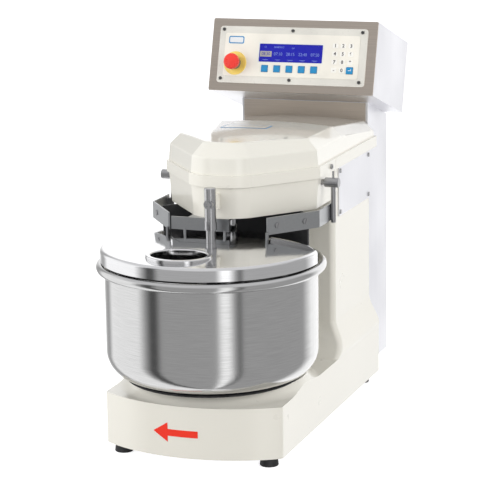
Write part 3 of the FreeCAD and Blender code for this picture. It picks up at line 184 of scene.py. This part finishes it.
def plastic(name, color, roughness, grain=900.0, depth=0.00004, coat=0.0):
    """Moulded plastic with a fine grain."""
    made = Maker(name, color, Roughness=roughness, Coat_Weight=coat, Coat_Roughness=0.08)
    shade = 0.86
    darker = tuple(c * shade for c in color)
    made.tint(made.noise(14.0, detail=3.0), 0.3, 0.7, color, darker)
    made.rough(made.noise(120.0), 0.3, 0.7, max(roughness - 0.05, 0.05), roughness + 0.08)
    made.relief(made.noise(grain, detail=2.0), depth, 0.5)
    return made.material


def rubber(name, color):
    """Matt rubber with a slightly dusty, uneven surface."""
    made = Maker(name, color, Roughness=0.72)
    dust = 0.03
    made.tint(made.noise(60.0, detail=5.0), 0.4, 0.75, color, tuple(c + dust for c in color))
    made.relief(made.noise(700.0), 0.00006, 0.6)
    return made.material


def dress(names, material):
    """Gives every material slot of some CAD nodes one material."""
    for name in names:
        piece = NODES[name]
        for slot in piece.material_slots:
            slot.material = material


bowl_low, bowl_high = (Vector(c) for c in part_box("bowl"))
SPIN_CENTRE = Vector(((bowl_low.x + bowl_high.x) / 2, (bowl_low.y + bowl_high.y) / 2, 0))

cream = enamel("cream_enamel", (0.84, 0.815, 0.735), (0.82, 0.795, 0.715), 0.28, 0.6)
cover_cream = enamel("cover_enamel", (0.83, 0.81, 0.735), (0.815, 0.79, 0.715), 0.14, 1.0)
# Lit and shaded copies of one brushed stainless steel, toned by which way it faces: the
# near-white, faintly blue sides are painted light, and the darker brown of the fronts is painted
# shade and painted reflection.
side_steel_painted_light = brushed("cabinet_steel_painted_light", (0.95, 0.95, 0.98), (0.89, 0.89, 0.93), "Z", 0.40, 0.3)
front_steel_painted_shade = brushed("front_steel_painted_shade", (0.72, 0.635, 0.56), (0.60, 0.53, 0.465), "X", 0.38, 0.4)
strip_steel = brushed("strip_steel", (0.50, 0.51, 0.52), (0.40, 0.41, 0.42), "Y", 0.30, 0.4)
bar_steel = brushed("bar_steel", (0.60, 0.60, 0.61), (0.50, 0.50, 0.51), "Z", 0.18, 0.3)
zinc = brushed("zinc_plate", (0.52, 0.52, 0.53), (0.40, 0.40, 0.41), "Z", 0.32, 0.2)
dark_zinc = brushed("dark_screws", (0.20, 0.20, 0.20), (0.12, 0.12, 0.12), "X", 0.35, 0.2)
panel_steel = plastic("panel_anodised", (0.76, 0.74, 0.68), 0.3, grain=1400.0, coat=0.6)
bowl_steel = spun("bowl_steel", (0.66, 0.66, 0.66), (0.58, 0.58, 0.58), SPIN_CENTRE, 0.11, 0.6)
lid_steel = spun("lid_steel", (0.82, 0.82, 0.83), (0.76, 0.76, 0.77), SPIN_CENTRE, 0.08, 0.2)
black = rubber("black_rubber", (0.018, 0.018, 0.02))
# Near-black colour of the rear guard: painted shade, standing for the shade under the head.
guard_painted_shade = plastic("charcoal_plastic", (0.055, 0.056, 0.06), 0.4)
grey = plastic("grey_plastic", (0.16, 0.16, 0.17), 0.4)
yellow = plastic("yellow_plastic", (0.96, 0.72, 0.16), 0.3, coat=0.3)
red = plastic("red_plastic", (0.92, 0.035, 0.02), 0.28, coat=0.5)
membrane = plastic("membrane_foil", (0.90, 0.865, 0.78), 0.42, grain=1600.0)
key_blue = plastic("key_blue", (0.005, 0.27, 0.58), 0.3, coat=0.3)
key_white = plastic("key_white", (0.95, 0.93, 0.88), 0.4)
board = plastic("board_green", (0.02, 0.16, 0.06), 0.4)
motor = enamel("motor_grey", (0.10, 0.11, 0.12), (0.08, 0.09, 0.10), 0.45, 0.0)
screen = plastic("display_blue", (0.004, 0.006, 0.42), 0.16)
decal_red = plastic("decal_red", (0.97, 0.035, 0.012), 0.45)
print_dark = plastic("print_dark", (0.03, 0.03, 0.035), 0.5)
print_pale = plastic("print_pale", (0.20, 0.28, 0.75), 0.5)
print_sand = plastic("print_sand", (0.42, 0.40, 0.36), 0.5)
print_blue = plastic("print_blue", (0.03, 0.26, 0.55), 0.5)
print_white = plastic("print_white", (0.82, 0.84, 0.86), 0.5)

LOOKS = {
    cream: ["base_casting", "head_housing", "head_flange", "breaker_bar_spacer"],
    cover_cream: ["head_cover"],
    side_steel_painted_light: ["rear_cabinet", "console_shell", "side_plates", "base_plate"],
    front_steel_painted_shade: ["console_front", "neck_panel"],
    strip_steel: ["flat_bar_left", "flat_bar_right", "bar_bracket"],
    bar_steel: ["breaker_bar", "breaker_bar_sleeve", "breaker_bar_screw", "spiral_hook"],
    zinc: [
        "lever_arm_left", "lever_arm_right", "lid_axle", "bowl_shaft", "flat_bar_screws",
        "side_plate_screws", "head_bolts", "bowl_bearings",
        "spiral_bearings", "bowl_pulley", "bowl_drive_pulley", "spiral_pulley",
        "spiral_drive_pulley",
    ],
    dark_zinc: ["panel_screws"],
    panel_steel: ["panel_plate"],
    bowl_steel: ["bowl"],
    lid_steel: ["bowl_lid", "lid_lip", "filling_collar", "fixed_lid"],
    black: ["rubber_feet", "bowl_belt", "spiral_belt", "turntable", "power_inlet"],
    guard_painted_shade: ["rear_guard"],
    grey: ["stop_collar"],
    yellow: ["stop_ring"],
    red: ["stop_mushroom"],
    membrane: ["keypad_membrane"],
    key_blue: [f"function_key_{i}" for i in range(1, 6)] + ["enter_key"],
    key_white: ["number_keys"],
    board: ["control_board"],
    motor: ["bowl_gearmotor", "spiral_motor"],
    screen: ["display_window"],
}
for material, names in LOOKS.items():
    dress(names, material)


# ---------------------------------------------------------------------------------------------
# Printed and stuck-on details
# ---------------------------------------------------------------------------------------------

PRESS = next(j for j in frame["joints"] if j["name"] == "stop_press")
FACE_OUT = -Vector(PRESS["axis"])
FACE_RIGHT = Vector((1, 0, 0))
FACE_UP = FACE_OUT.cross(FACE_RIGHT)
# Thicknesses of the printed marks and of the stickers.
PRINT = 0.12 * MM
STICKER = 0.15 * MM


def face_span(node):
    """Lowest and highest reach of a node along the console's right, up and outward directions."""
    reach = []
    for direction in (FACE_RIGHT, FACE_UP, FACE_OUT):
        along = [v.co.dot(direction) for v in NODES[node].data.vertices]
        reach.append((min(along), max(along)))
    return reach


def new_piece(name, mesh, material, body="machine"):
    """A piece of its own that rides on one body."""
    piece = bpy.data.objects.new(name, mesh)
    bpy.context.collection.objects.link(piece)
    piece.data.materials.clear()
    piece.data.materials.append(material)
    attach(piece, body)
    return piece


def thin_sheet(name, form, material, thickness):
    """A piece from an open surface, thickened evenly to both sides."""
    mesh = bpy.data.meshes.new(name)
    form.to_mesh(mesh)
    form.free()
    solid = new_piece(name, mesh, material).modifiers.new("thickness", "SOLIDIFY")
    solid.thickness = thickness
    solid.offset = 0


def face_matrix(right, up, out):
    """Stands a shape drawn flat in XY on the console's face."""
    turn = Matrix((FACE_RIGHT, FACE_UP, FACE_OUT)).transposed().to_4x4()
    spot = FACE_RIGHT * right + FACE_UP * up + FACE_OUT * out
    return Matrix.Translation(spot) @ turn


def printed(name, plates, matrix, material, body="machine"):
    """Thin plates, each a list of (x, y) corners, laid on a face as one mesh."""
    form = bmesh.new()
    for corners in plates:
        low = [form.verts.new((x, y, 0)) for x, y in corners]
        high = [form.verts.new((x, y, PRINT)) for x, y in corners]
        form.faces.new(low[::-1])
        form.faces.new(high)
        count = len(corners)
        for k in range(count):
            form.faces.new((low[k], low[(k + 1) % count], high[(k + 1) % count], high[k]))
    form.transform(matrix)
    mesh = bpy.data.meshes.new(name)
    form.to_mesh(mesh)
    form.free()
    new_piece(name, mesh, material, body)


def plate(x, y, width, height):
    """Corners of a rectangle round a middle point."""
    return [
        (x - width / 2, y - height / 2), (x + width / 2, y - height / 2),
        (x + width / 2, y + height / 2), (x - width / 2, y + height / 2),
    ]


def rounded_plate(width, height, radius):
    """Corners of a rectangle with rounded corners, round the origin."""
    corners, steps = [], 5
    for quarter in range(4):
        sign_x = 1 if quarter in (0, 3) else -1
        sign_y = 1 if quarter in (0, 1) else -1
        for step in range(steps + 1):
            angle = math.pi / 2 * (quarter + step / steps)
            corners.append(
                (
                    sign_x * (width / 2 - radius) + radius * math.cos(angle),
                    sign_y * (height / 2 - radius) + radius * math.sin(angle),
                )
            )
    return corners


def digits(name, text, size, matrix, material, stretch=1.0, bold=0.0):
    """Generic digits as a thin raised print, centred on the matrix's origin."""
    curve = bpy.data.curves.new(name, "FONT")
    curve.body = text
    curve.size = size
    curve.align_x = "CENTER"
    curve.align_y = "CENTER"
    curve.extrude = PRINT / 2
    curve.offset = bold
    maker = bpy.data.objects.new(name + "_maker", curve)
    bpy.context.collection.objects.link(maker)
    bpy.context.view_layer.update()
    graph = bpy.context.evaluated_depsgraph_get()
    mesh = bpy.data.meshes.new_from_object(maker.evaluated_get(graph))
    bpy.data.objects.remove(maker)
    mesh.transform(matrix @ Matrix.Diagonal((stretch, 1, 1, 1)))
    mesh.name = name
    new_piece(name, mesh, material)


def display_content():
    """Rows of figures on the display: a heading, five two-line values, one of them lit."""
    (x0, x1), (y0, y1), (_, out) = face_span("display_window")
    width, height = x1 - x0, y1 - y0

    def spot(share_x, share_y, lift=0.0):
        return face_matrix(x0 + share_x * width, y0 + share_y * height, out + lift)

    digits("display_heading_1", "12", 4.6 * MM, spot(0.09, 0.82), print_pale)
    digits("display_heading_2", "0048/0012", 4.6 * MM, spot(0.31, 0.82), print_pale)
    digits("display_heading_3", "100", 4.0 * MM, spot(0.53, 0.78), print_pale)
    pitch, first = 0.195, 0.105
    for index, label in enumerate(("08:30", "07:10", "28:15", "22:40", "07:50")):
        share = first + pitch * index
        lit = index == 0
        if lit:
            block = plate(0, 0, 0.185 * width, 0.31 * height)
            printed("display_lit_block", [block], spot(share, 0.44), print_sand)
        ink = screen if lit else print_pale
        digits(f"display_value_{index + 1}", label, 8.2 * MM, spot(share, 0.44, PRINT), ink, 0.92)
        bars = [plate(0, 0, 0.09 * width, 0.6 * MM), plate(0, -0.9 * MM, 0.05 * width, 0.4 * MM)]
        printed(f"display_caption_{index + 1}", bars, spot(share, 0.12), print_pale)


def display_frame():
    """Pale frame printed round the display."""
    (x0, x1), (y0, y1), _ = face_span("display_window")
    out = face_span("keypad_membrane")[2][1]
    x, y, width, height = (x0 + x1) / 2, (y0 + y1) / 2, x1 - x0, y1 - y0
    gap, line = 0.6 * MM, 1.4 * MM
    far_x, far_y = width / 2 + gap + line / 2, height / 2 + gap + line / 2
    bars = [
        plate(0, far_y, width + 2 * (gap + line), line),
        plate(0, -far_y, width + 2 * (gap + line), line),
        plate(far_x, 0, line, height + 2 * gap),
        plate(-far_x, 0, line, height + 2 * gap),
    ]
    printed("display_frame", bars, face_matrix(x, y, out), print_white)


def pad_digits():
    """Figures printed on the number keys, and the symbol on the enter key."""
    (x0, x1), (y0, y1), (_, out) = face_span("number_keys")
    (e0, e1), (f0, f1), (_, enter_out) = face_span("enter_key")
    middle_x, middle_y = (x0 + x1) / 2, (y0 + y1) / 2
    enter_x, enter_y = (e0 + e1) / 2, (f0 + f1) / 2
    pitch_x, pitch_y = enter_x - middle_x, (middle_y - enter_y) / 1.5
    for line, row in enumerate(("123", "456", "789", "-0")):
        for column, figure in enumerate(row):
            x = middle_x + (column - 1) * pitch_x
            y = middle_y + (1.5 - line) * pitch_y
            name = f"figure_{line + 1}_{column + 1}"
            digits(name, figure, 8.6 * MM, face_matrix(x, y, out), print_dark, bold=0.25 * MM)
    mark = [plate(0, 0, 6 * MM, 1.0 * MM), plate(2.6 * MM, 1.6 * MM, 0.9 * MM, 3 * MM)]
    printed("enter_mark", mark, face_matrix(enter_x, enter_y, enter_out), print_white,
            body="key_enter")


def key_marks():
    """Thin blue outline near the edge of each function key's cap."""
    for index in range(1, 6):
        (x0, x1), (y0, y1), (_, out) = face_span(f"function_key_{index}")
        rim, line = 1.5 * MM, 0.35 * MM
        width, height = x1 - x0 - 2 * rim, y1 - y0 - 2 * rim
        bars = [
            plate(0, height / 2, width, line), plate(0, -height / 2, width, line),
            plate(width / 2, 0, line, height), plate(-width / 2, 0, line, height),
        ]
        matrix = face_matrix((x0 + x1) / 2, (y0 + y1) / 2, out)
        printed(f"key_line_{index}", bars, matrix, print_blue, body=f"key_{index}")


def badges():
    """Two plain badges without any wording: one on the panel, one on the cover."""
    (x0, x1), (y0, y1), (_, out) = face_span("keypad_membrane")
    matrix = face_matrix(x0 + 0.085 * (x1 - x0), y0 + 0.84 * (y1 - y0), out)
    printed("panel_badge", [rounded_plate(30 * MM, 14 * MM, 3 * MM)], matrix, print_blue)
    printed(
        "panel_badge_field", [rounded_plate(26 * MM, 10 * MM, 2 * MM)],
        Matrix.Translation(FACE_OUT * PRINT) @ matrix, print_white,
    )
    laid_on_cover("cover_badge", 86 * MM, 34 * MM, 0.25 * MM, print_blue)
    laid_on_cover("cover_badge_field", 82 * MM, 30 * MM, 0.45 * MM, cover_cream)


def laid_on_cover(name, width, depth, lift, material):
    """A thin plate that follows the crowned top of the head cover."""
    low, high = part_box("head_cover")
    middle = Vector((-18 * MM, low.y + 200 * MM, high.z))
    cells = 20
    form = bmesh.new()
    grid = {}
    for i in range(cells + 1):
        for k in range(cells + 1):
            x = middle.x + width * (i / cells - 0.5)
            y = middle.y + depth * (k / cells - 0.5)
            spot = struck("head_cover", Vector((x, y, high.z + 1)), Vector((0, 0, -1)))
            grid[i, k] = form.verts.new((x, y, spot.z + lift))
    for i in range(cells):
        for k in range(cells):
            form.faces.new((grid[i, k], grid[i + 1, k], grid[i + 1, k + 1], grid[i, k + 1]))
    thin_sheet(name, form, material, STICKER)


def struck(piece, start, direction):
    """Point of a CAD node hit by a straight line."""
    hit, spot, _, _ = NODES[piece].ray_cast(start, direction)
    if not hit:
        raise RuntimeError(f"nothing of {piece} lies there")
    return spot


def draped(name, target, reach, inside, lift, material):
    """A thin sticker on a front: inside(x, z) tells which cells of a fine grid are in it."""
    x0, x1, z0, z1 = reach
    columns, rows = 96, 48
    form = bmesh.new()
    grid = {}

    def vertex(i, k):
        if (i, k) not in grid:
            x = x0 + (x1 - x0) * i / columns
            z = z0 + (z1 - z0) * k / rows
            spot = struck(target, Vector((x, -2, z)), Vector((0, 1, 0)))
            grid[i, k] = form.verts.new((x, spot.y - lift, z))
        return grid[i, k]

    for i in range(columns):
        for k in range(rows):
            x = x0 + (x1 - x0) * (i + 0.5) / columns
            z = z0 + (z1 - z0) * (k + 0.5) / rows
            if inside(x, z):
                form.faces.new(
                    (vertex(i, k), vertex(i + 1, k), vertex(i + 1, k + 1), vertex(i, k + 1))
                )
    thin_sheet(name, form, material, STICKER)


def arrow_decal():
    """Red arrow on the front of the base, pointing left."""
    tip, neck, tail = -54 * MM, -27.5 * MM, 26 * MM
    low, high, shaft_low, shaft_high = 42 * MM, 75 * MM, 52 * MM, 64 * MM
    middle = (low + high) / 2

    def inside(x, z):
        if x > neck:
            return x < tail and shaft_low < z < shaft_high
        return abs(z - middle) < (high - low) / 2 * (x - tip) / (neck - tip)

    draped("arrow_decal", "base_casting", (tip, tail, low, high), inside, 0.25 * MM, decal_red)


def guard_strip():
    """A white strip that is a painted highlight, and a blue marking strip, at the right-hand end
    of the guard.
    """
    low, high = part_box("rear_guard")
    middle_y, lift, steps = SPIN_CENTRE.y, 0.4 * MM, 4
    tip = max((v.co for v in NODES["rear_guard"].data.vertices), key=lambda c: c.x)
    radius = math.hypot(tip.x, tip.y - middle_y)
    end = math.atan2(tip.y - middle_y, tip.x)
    bottom, top = low.z + 4 * MM, high.z - 3 * MM
    # The white strip is a painted highlight on the guard's end; the blue strip is a marking.
    for name, first, last, material in (
        ("guard_strip_painted_highlight", 0.2, 4.2, print_white), ("guard_strip_blue", 4.2, 7.2, print_blue)
    ):
        form = bmesh.new()
        columns = []
        for step in range(steps + 1):
            angle = end + (first + (last - first) * step / steps) * MM / radius
            reach = radius + lift
            x, y = reach * math.cos(angle), middle_y + reach * math.sin(angle)
            columns.append([form.verts.new((x, y, bottom)), form.verts.new((x, y, top))])
        for a, b in zip(columns, columns[1:]):
            form.faces.new((a[0], b[0], b[1], a[1]))
        thin_sheet(name, form, material, 2 * STICKER)


display_content()
display_frame()
pad_digits()
key_marks()
badges()
arrow_decal()
guard_strip()


# ---------------------------------------------------------------------------------------------
# Stage, light and camera
# ---------------------------------------------------------------------------------------------


# Height that the lights and the camera are aimed at.
AIM_LEVEL = 0.3


def ray_kinds(tree, plain, camera, glossy):
    """One shader for the camera, one for mirrored rays and a plain one for the rest."""
    path = tree.nodes.new("ShaderNodeLightPath")
    first = tree.nodes.new("ShaderNodeMixShader")
    second = tree.nodes.new("ShaderNodeMixShader")
    tree.links.new(path.outputs["Is Glossy Ray"], first.inputs[0])
    tree.links.new(plain, first.inputs[1])
    tree.links.new(glossy, first.inputs[2])
    tree.links.new(path.outputs["Is Camera Ray"], second.inputs[0])
    tree.links.new(first.outputs["Shader"], second.inputs[1])
    tree.links.new(camera, second.inputs[2])
    return second.outputs["Shader"]


def floor():
    """Pale paper floor; mirrored rays look through it to the studio's surround."""
    half = 9.0
    mesh = bpy.data.meshes.new("floor")
    form = bmesh.new()
    spots = ((-half, -half), (half, -half), (half, half), (-half, half))
    form.faces.new([form.verts.new((x, y, 0)) for x, y in spots])
    form.to_mesh(mesh)
    form.free()
    piece = bpy.data.objects.new("floor", mesh)
    bpy.context.collection.objects.link(piece)
    made = Maker("floor_paper", (0.92, 0.92, 0.92), Roughness=0.8)
    made.shader.inputs["Specular IOR Level"].default_value = 0.0
    made.shader.inputs["Emission Color"].default_value = (1, 1, 1, 1)
    made.shader.inputs["Emission Strength"].default_value = 0.62
    made.relief(made.noise(90.0), 0.0002, 0.1)
    paper = made.node("ShaderNodeBsdfDiffuse")
    paper.inputs["Color"].default_value = (0.45, 0.45, 0.45, 1)
    clear = made.node("ShaderNodeBsdfTransparent")
    shader = ray_kinds(made.tree, paper.outputs[0], made.shader.outputs[0], clear.outputs[0])
    made.link(shader, made.tree.nodes["Material Output"].inputs["Surface"])
    piece.data.materials.append(made.material)


def softbox(name, azimuth, level, distance, width, height, power):
    """An area light that faces the machine; azimuth 0 is in front of it, 90 on its right."""
    aim = Vector((0, 0, AIM_LEVEL))
    turn = math.radians(azimuth)
    place = Vector((distance * math.sin(turn), -distance * math.cos(turn), level))
    data = bpy.data.lights.new(name, "AREA")
    data.shape = "RECTANGLE"
    data.size = width
    data.size_y = height
    data.energy = power
    lamp = bpy.data.objects.new(name, data)
    lamp.location = place
    lamp.rotation_euler = (aim - place).to_track_quat("-Z", "Y").to_euler()
    lamp.visible_glossy = False
    bpy.context.collection.objects.link(lamp)


# The studio that polished steel mirrors: a grey room with a few plain soft cards in it.
ROOM_GREY = 0.45
# Each card: azimuth of its middle, half its width, width of its soft edge, brightness.
CARDS = {
    "backdrop_left": (-180, 25, 20, 1.3),
    "left_softbox": (-90, 25, 10, 1.15),
    "left_flag": (-45, 3, 7, 0.1),
    "strip_light": (35, 3, 7, 1.3),
    "right_flag": (50, 1, 4, 0.2),
    "backdrop_right": (180, 25, 20, 1.3),
}


def card_stops():
    """Brightness round the room: every card fades into the grey at both ends."""
    stops = []
    for middle, half, edge, brightness in CARDS.values():
        stops += [
            (middle - half - edge, ROOM_GREY), (middle - half, brightness),
            (middle + half, brightness), (middle + half + edge, ROOM_GREY),
        ]
    return [(azimuth, level) for azimuth, level in stops if abs(azimuth) <= 180]


def world():
    """White background, an even surround for diffuse light and a banded one for mirrors."""
    made = bpy.data.worlds.new("studio")
    bpy.context.scene.world = made
    made.use_nodes = True
    tree = made.node_tree

    def node(kind, **settings):
        fresh = tree.nodes.new(kind)
        for name, value in settings.items():
            setattr(fresh, name, value)
        return fresh

    shown, even, banded = (node("ShaderNodeBackground") for _ in range(3))
    shown.inputs["Color"].default_value = (1, 1, 1, 1)
    coords = node("ShaderNodeTexCoord")
    split = node("ShaderNodeSeparateXYZ")
    tree.links.new(coords.outputs["Generated"], split.inputs["Vector"])

    height = node("ShaderNodeMapRange", interpolation_type="SMOOTHSTEP")
    height.inputs["From Min"].default_value = 0.30
    height.inputs["From Max"].default_value = 0.75
    tree.links.new(split.outputs["Z"], height.inputs["Value"])

    front = node("ShaderNodeMath", operation="MULTIPLY")
    front.inputs[1].default_value = -1
    tree.links.new(split.outputs["Y"], front.inputs[0])
    angle = node("ShaderNodeMath", operation="ARCTAN2")
    tree.links.new(split.outputs["X"], angle.inputs[0])
    tree.links.new(front.outputs["Value"], angle.inputs[1])
    share = node("ShaderNodeMapRange")
    share.inputs["From Min"].default_value = -math.pi
    share.inputs["From Max"].default_value = math.pi
    tree.links.new(angle.outputs["Value"], share.inputs["Value"])
    ramp = node("ShaderNodeValToRGB")
    stops, wanted = ramp.color_ramp.elements, card_stops()
    while len(stops) < len(wanted):
        stops.new(0.5)
    for stop, (azimuth, brightness) in zip(stops, wanted):
        stop.position = (azimuth + 180) / 360
        stop.color = (brightness, brightness, brightness, 1)
    tree.links.new(share.outputs["Result"], ramp.inputs["Fac"])

    def blend(low, high, target):
        mix = node("ShaderNodeMix", data_type="RGBA")
        colours = [i for i in mix.inputs if i.type == "RGBA"]
        for socket, value in zip(colours, (low, high)):
            if isinstance(value, tuple):
                socket.default_value = value
            else:
                tree.links.new(value, socket)
        tree.links.new(height.outputs["Result"], mix.inputs[0])
        result = next(o for o in mix.outputs if o.type == "RGBA")
        tree.links.new(result, target.inputs["Color"])

    blend((1.0, 1.0, 1.0, 1), (0.62, 0.62, 0.62, 1), even)
    blend(ramp.outputs["Color"], (0.75, 0.75, 0.76, 1), banded)
    shader = ray_kinds(tree, even.outputs[0], shown.outputs[0], banded.outputs[0])
    tree.links.new(shader, tree.nodes["World Output"].inputs["Surface"])


def camera():
    """Camera on the right of the front and slightly above, a little rolled and off centre."""
    azimuth, elevation, roll = math.radians(20.0), math.radians(12.437), math.radians(0.8278)
    aim = Vector((0, SPIN_CENTRE.y, AIM_LEVEL))
    distance, across, rise = 3484.786 * MM, 65.298 * MM, 35.153 * MM
    back = Vector(
        (
            math.sin(azimuth) * math.cos(elevation),
            -math.cos(azimuth) * math.cos(elevation),
            math.sin(elevation),
        )
    )
    right = Vector((math.cos(azimuth), math.sin(azimuth), 0))
    up = back.cross(right)
    place = aim + back * distance + right * across + up * rise
    tilted_right = right * math.cos(roll) - up * math.sin(roll)
    tilted_up = up * math.cos(roll) + right * math.sin(roll)
    data = bpy.data.cameras.new("camera")
    data.lens = 149.11
    data.sensor_width = 36.0
    data.clip_end = 50.0
    piece = bpy.data.objects.new("camera", data)
    turn = Matrix((tilted_right, tilted_up, back)).transposed()
    piece.matrix_world = Matrix.Translation(place) @ turn.to_4x4()
    bpy.context.collection.objects.link(piece)
    bpy.context.scene.camera = piece


floor()
world()
softbox("left_softbox", -45, 1.2, 2.6, 2.2, 1.8, 33)
softbox("right_softbox", 75, 1.1, 2.8, 2.0, 2.0, 28)
camera()
bpy.context.scene.view_settings.view_transform = "Standard"
